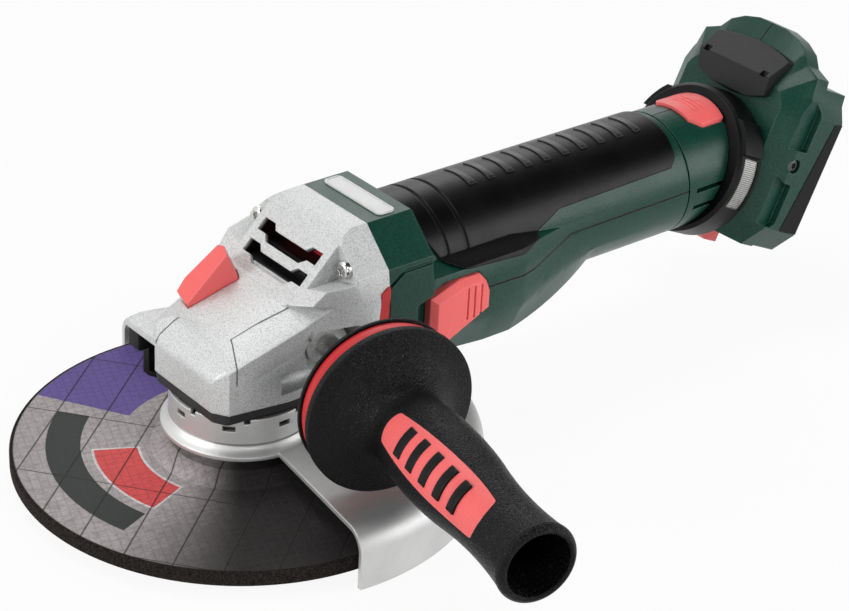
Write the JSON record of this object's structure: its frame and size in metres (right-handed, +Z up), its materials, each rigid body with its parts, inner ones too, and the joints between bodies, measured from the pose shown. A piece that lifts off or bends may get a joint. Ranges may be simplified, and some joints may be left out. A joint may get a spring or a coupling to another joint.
{
  "type": "cordless angle grinder",
  "caption": "Long-bodied cordless angle grinder with bevel gear head, abrasive wheel, turning guard, side handle, slide switch and an open foot for a battery pack.",
  "frame": {"origin": "on the spindle axis, in the plane of the wheel's lower face", "axes": "+Z up the spindle away from the work; +X to the rear towards the battery foot; the side handle is on -Y"},
  "size_m": [0.3845, 0.2829, 0.1245],
  "materials": {
    "abrasive": "matte",
    "steel": "satin",
    "bearing_steel": "gloss",
    "bronze": "satin",
    "casting": "matte",
    "black_casting": "matte",
    "dark_steel": "satin",
    "zinc_sheet": "satin",
    "lever_black": "satin",
    "red_plastic": "satin",
    "green_plastic": "matte",
    "soft_black": "matte",
    "black_plastic": "satin",
    "dark_grey_plastic": "satin",
    "lamination": "satin",
    "mesh_steel": "satin"
  },
  "bodies": {
    "housing": {"spindle_bearing": "bearing_steel", "spindle_bush": "bronze", "gear_housing": "casting", "bearing_flange": "black_casting", "flange_screws": "dark_steel", "housing_screws": "dark_steel", "lever_pin": "steel", "baffle": "red_plastic", "front_bearing": "bearing_steel", "rear_bearing": "bearing_steel", "bearing_bridge": "black_plastic", "stator": "lamination", "motor_housing": "green_plastic", "grip": "soft_black", "switch_module": "black_plastic", "control_module": "dark_grey_plastic", "electronics_cap": "dark_grey_plastic", "rear_shell_left": "green_plastic", "rear_shell_right": "green_plastic", "shell_screws": "dark_steel", "rail_strips": "black_plastic", "contact_block": "black_plastic", "filter_frame": "black_plastic", "filter_mesh": "mesh_steel", "handle_stud": "steel", "handle_disc": "black_plastic", "handle_damper": "red_plastic", "handle_grip": "soft_black", "handle_inlay": "red_plastic"},
    "spindle_set": {"wheel": "abrasive", "spindle": "steel", "inner_flange": "steel", "clamp_nut": "steel", "crown_gear": "steel"},
    "rotor": {"pinion": "steel", "rotor_shaft": "steel", "rotor_core": "lamination", "fan": "black_plastic"},
    "guard": {"guard_band": "zinc_sheet", "guard_shell": "zinc_sheet"},
    "guard_catch": {"guard_lever": "lever_black"},
    "spindle_lock": {"lock_button": "red_plastic"},
    "switch": {"switch_slider": "red_plastic", "switch_link": "black_plastic"},
    "filter_latch_top": {"latch_top": "red_plastic"},
    "filter_latch_bottom": {"latch_bottom": "red_plastic"}
  },
  "joints": [
    {"name": "spindle_spin", "type": "hinge", "parent": "housing", "child": "spindle_set", "pos_m": [0, 0, 0.03], "axis": [0, 0, 1], "continuous": true},
    {"name": "rotor_spin", "type": "hinge", "parent": "housing", "child": "rotor", "pos_m": [0.09, 0, 0.0662], "axis": [1, 0, 0], "continuous": true},
    {"name": "guard_turn", "type": "hinge", "parent": "housing", "child": "guard", "pos_m": [0, 0, 0.025], "axis": [0, 0, 1], "range_deg": [-85, 95]},
    {"name": "catch_pivot", "type": "hinge", "parent": "housing", "child": "guard_catch", "pos_m": [-0.0115, 0.033, 0.045], "axis": [0, 0, -1], "range_deg": [0, 8], "stiffness_Nm_per_rad": 0.3, "springref_deg": -8.59},
    {"name": "lock_press", "type": "slide", "parent": "housing", "child": "spindle_lock", "axis": [0.4263, 0, -0.9046], "range_m": [0, 0.0022], "stiffness_N_per_m": 1200, "springref_m": -0.0015},
    {"name": "switch_slide", "type": "slide", "parent": "housing", "child": "switch", "axis": [-1, 0, 0], "range_m": [0, 0.007], "stiffness_N_per_m": 300, "springref_m": -0.01},
    {"name": "latch_top_press", "type": "slide", "parent": "housing", "child": "filter_latch_top", "axis": [0, 0, -1], "range_m": [0, 0.0015], "stiffness_N_per_m": 1500, "springref_m": -0.001},
    {"name": "latch_bottom_press", "type": "slide", "parent": "housing", "child": "filter_latch_bottom", "axis": [0.4226, 0, 0.9063], "range_m": [0, 0.0015], "stiffness_N_per_m": 1500, "springref_m": -0.001}
  ],
  "couplings": [
    {"joint": "rotor_spin", "follows": "spindle_spin", "ratio": 2.2}
  ]
}
